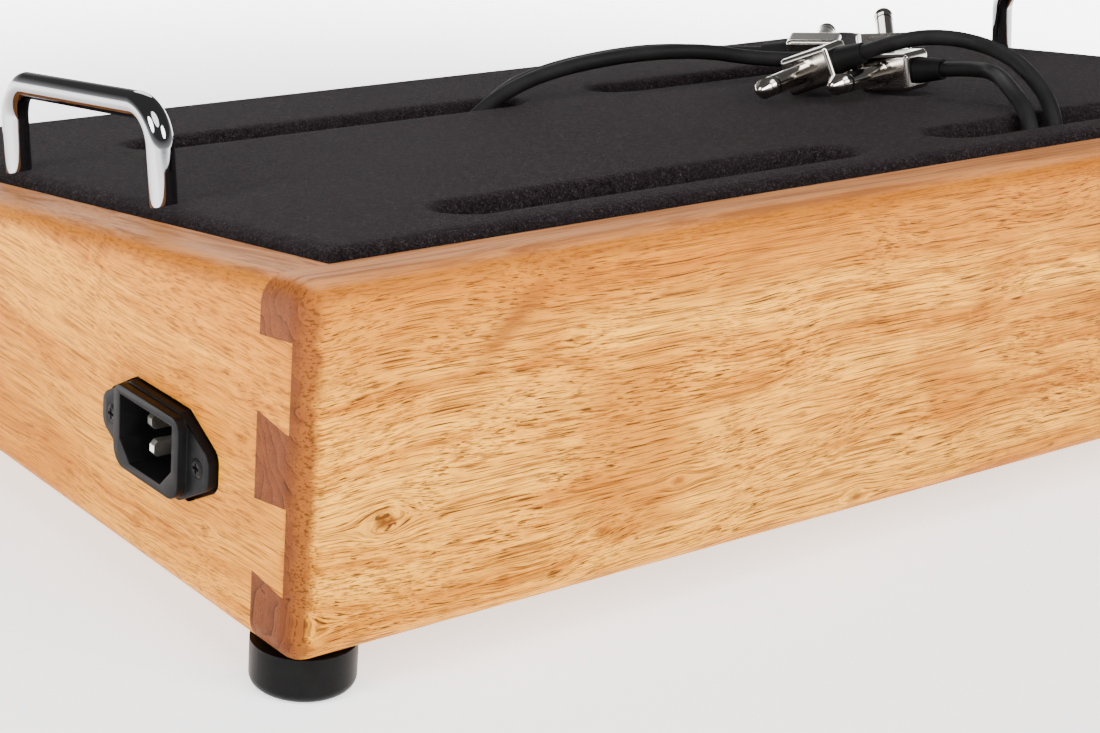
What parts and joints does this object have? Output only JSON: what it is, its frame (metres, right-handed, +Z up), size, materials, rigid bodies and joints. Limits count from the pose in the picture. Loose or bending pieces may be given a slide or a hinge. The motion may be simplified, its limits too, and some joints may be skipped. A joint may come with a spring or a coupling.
{
  "type": "pedalboard",
  "caption": "Wedge-shaped dovetailed hardwood pedalboard with a slotted felt deck that lifts out by chrome handles, a side mains inlet and patch leads.",
  "frame": {"origin": "on the floor under the middle of the wooden frame", "axes": "+Z up, +Y towards the tall rear board, +X towards the side board with the mains inlet"},
  "size_m": [0.462, 0.286, 0.1204],
  "materials": {
    "hardwood": "satin oil",
    "plywood": "unfinished",
    "softwood": "unfinished",
    "felt": "charcoal felt",
    "chrome": "polished",
    "zinc": "zinc plated",
    "black_steel": "black",
    "foot_rubber": "satin",
    "inlet_plastic": "satin black",
    "pin_metal": "nickel plated",
    "boot_rubber": "matt",
    "cable": "matt dark grey",
    "clip_plastic": "matt",
    "nickel": "polished nickel",
    "relief_rubber": "matt",
    "insulator": "gloss",
    "case_aluminium": "satin",
    "board_green": "solder mask",
    "iron": "varnished laminations"
  },
  "bodies": {
    "frame": {"rear_board": "hardwood", "front_board": "hardwood", "left_side_board": "hardwood", "right_side_board": "hardwood", "base_panel": "plywood", "deck_cleat_rear": "softwood", "deck_cleat_front": "softwood", "deck_cleat_left": "softwood", "deck_cleat_right": "softwood", "cleat_screws": "zinc", "foot_screws": "zinc", "foot_washers": "zinc", "psu_lid_screws": "zinc", "psu_mounting_screws": "zinc", "mains_clip_screws": "zinc", "inlet_screws": "black_steel", "foot_rear_left": "foot_rubber", "foot_rear_right": "foot_rubber", "foot_front_left": "foot_rubber", "foot_front_right": "foot_rubber", "inlet_body": "inlet_plastic", "inlet_live_pin": "pin_metal", "inlet_neutral_pin": "pin_metal", "inlet_earth_pin": "pin_metal", "inlet_boot": "boot_rubber", "mains_lead": "cable", "mains_lead_clips": "clip_plastic", "psu_gland": "clip_plastic", "psu_dc_sockets": "insulator", "psu_case": "case_aluminium", "psu_lid": "case_aluminium", "psu_circuit_board": "board_green", "psu_transformer": "iron"},
    "deck": {"deck_core": "plywood", "deck_carpet": "felt", "handle_left": "chrome", "handle_right": "chrome", "handle_screws": "zinc", "handle_washers": "zinc", "patch_lead_1": "cable", "patch_lead_2": "cable", "lead_clips": "clip_plastic", "lead_clip_screws": "zinc", "plug_body_1": "nickel", "plug_body_2": "nickel", "plug_body_3": "nickel", "plug_body_4": "nickel", "plug_sleeve_1": "nickel", "plug_sleeve_2": "nickel", "plug_sleeve_3": "nickel", "plug_sleeve_4": "nickel", "plug_tips_1": "nickel", "plug_tips_2": "nickel", "plug_strain_relief_1": "relief_rubber", "plug_strain_relief_2": "relief_rubber", "plug_strain_relief_3": "relief_rubber", "plug_strain_relief_4": "relief_rubber", "plug_insulators_1": "insulator", "plug_insulators_2": "insulator"}
  },
  "joints": [
    {"name": "deck_lift", "type": "slide", "parent": "frame", "child": "deck", "axis": [0, 0, 1], "range_m": [0, 0.12]}
  ]
}
